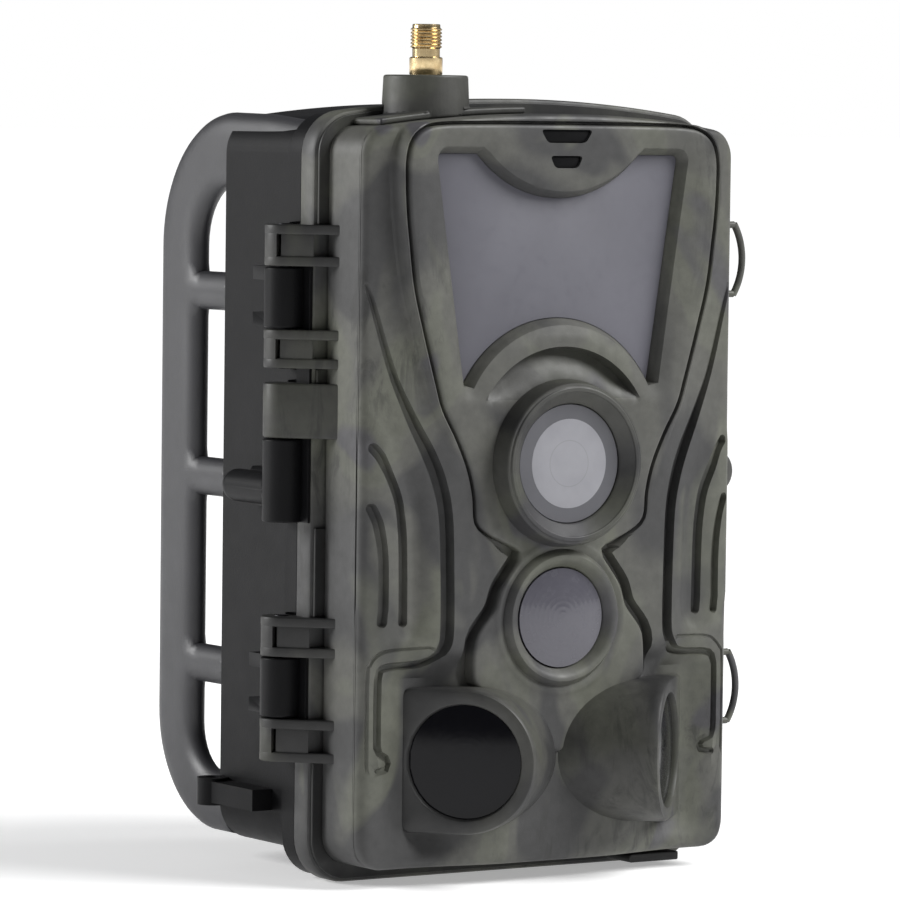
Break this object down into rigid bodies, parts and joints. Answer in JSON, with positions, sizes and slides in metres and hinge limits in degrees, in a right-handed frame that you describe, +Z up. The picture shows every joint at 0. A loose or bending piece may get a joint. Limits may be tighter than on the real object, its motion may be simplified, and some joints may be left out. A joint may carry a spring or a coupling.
{
  "type": "trail camera",
  "caption": "Clamshell wildlife camera with a hinged front, infrared window, lens, three motion sensors, antenna socket and bow-shaped rails for a tree strap.",
  "frame": {"origin": "centre of the mouth of the tripod socket under the rear shell", "axes": "-Y is the way the lens looks, +X is towards the latches, +Z is up"},
  "size_m": [0.1134, 0.0992, 0.1743],
  "materials": {
    "camo_plastic": "satin moulded plastic with a camouflage print",
    "black_plastic": "satin, finely textured",
    "steel": "plated",
    "brass": "gold plated",
    "cell_jacket": "printed sleeve, plain",
    "rubber": "matte",
    "dark_window": "smoked, glossy",
    "clear_glass": "coated",
    "circuit_board": "solder mask",
    "grey_plastic": "satin"
  },
  "bodies": {
    "rear_case": {"rear_shell": "black_plastic", "bow_rail_left": "black_plastic", "bow_rail_right": "black_plastic", "bracket_screws": "steel", "battery_tray": "black_plastic", "tray_screws": "steel", "battery_cells": "cell_jacket", "battery_contacts": "steel", "battery_springs": "steel", "battery_cover": "black_plastic", "tripod_insert": "brass", "hinge_pins": "steel", "cable_sleeve": "black_plastic", "hinge_cable": "rubber", "lock_hook": "black_plastic", "latch_pins": "steel"},
    "front_case": {"front_housing": "camo_plastic", "front_frame": "black_plastic", "fascia_plate": "camo_plastic", "ir_window": "dark_window", "indicator_windows": "dark_window", "lens_bezel": "camo_plastic", "lens_window": "clear_glass", "lens_barrel": "black_plastic", "lens_elements": "clear_glass", "lens_holder": "black_plastic", "sensor_board": "circuit_board", "image_sensor": "grey_plastic", "pir_window": "dark_window", "side_window_left": "dark_window", "side_window_right": "dark_window", "pir_cells": "steel", "pir_board": "circuit_board", "led_board": "circuit_board", "ir_leds": "grey_plastic", "main_board": "circuit_board", "lcd_screen": "dark_window", "inner_cover": "black_plastic", "inner_cover_screws": "steel", "speaker": "grey_plastic", "card_slot": "steel", "sim_slot": "steel", "dc_jack": "black_plastic", "usb_port": "steel", "door_gasket": "rubber", "antenna_boss": "camo_plastic", "sma_connector": "brass", "coax_lead": "rubber"},
    "button_up": {"button_up": "grey_plastic"},
    "button_down": {"button_down": "grey_plastic"},
    "button_left": {"button_left": "grey_plastic"},
    "button_right": {"button_right": "grey_plastic"},
    "button_ok": {"button_ok": "grey_plastic"},
    "mode_switch": {"mode_switch": "grey_plastic"},
    "ir_cut_filter": {"ir_cut_filter": "clear_glass"},
    "port_flap": {"port_flap": "rubber"},
    "latch_upper": {"latch_upper": "camo_plastic"},
    "latch_lower": {"latch_lower": "camo_plastic"}
  },
  "joints": [
    {"name": "case_hinge", "type": "hinge", "parent": "rear_case", "child": "front_case", "pos_m": [-0.051, -0.012, 0.079], "axis": [0, 0, -1], "range_deg": [0, 100]},
    {"name": "latch_upper_hinge", "type": "hinge", "parent": "rear_case", "child": "latch_upper", "pos_m": [0.0515, -0.006, 0.1264], "axis": [0, 0, 1], "range_deg": [0, 100]},
    {"name": "latch_lower_hinge", "type": "hinge", "parent": "rear_case", "child": "latch_lower", "pos_m": [0.0515, -0.006, 0.036], "axis": [0, 0, 1], "range_deg": [0, 100]},
    {"name": "button_up_press", "type": "slide", "parent": "front_case", "child": "button_up", "axis": [0, -1, 0], "range_m": [0, 0.0005], "stiffness_N_per_m": 300},
    {"name": "button_down_press", "type": "slide", "parent": "front_case", "child": "button_down", "axis": [0, -1, 0], "range_m": [0, 0.0005], "stiffness_N_per_m": 300},
    {"name": "button_left_press", "type": "slide", "parent": "front_case", "child": "button_left", "axis": [0, -1, 0], "range_m": [0, 0.0005], "stiffness_N_per_m": 300},
    {"name": "button_right_press", "type": "slide", "parent": "front_case", "child": "button_right", "axis": [0, -1, 0], "range_m": [0, 0.0005], "stiffness_N_per_m": 300},
    {"name": "button_ok_press", "type": "slide", "parent": "front_case", "child": "button_ok", "axis": [0, -1, 0], "range_m": [0, 0.0005], "stiffness_N_per_m": 300},
    {"name": "mode_switch_slide", "type": "slide", "parent": "front_case", "child": "mode_switch", "axis": [1, 0, 0], "range_m": [0, 0.008]},
    {"name": "ir_filter_slide", "type": "slide", "parent": "front_case", "child": "ir_cut_filter", "axis": [1, 0, 0], "range_m": [0, 0.0085]},
    {"name": "port_flap_hinge", "type": "hinge", "parent": "front_case", "child": "port_flap", "pos_m": [0.0249, -0.0245, 0.002], "axis": [0, 1, 0], "range_deg": [0, 90]}
  ]
}
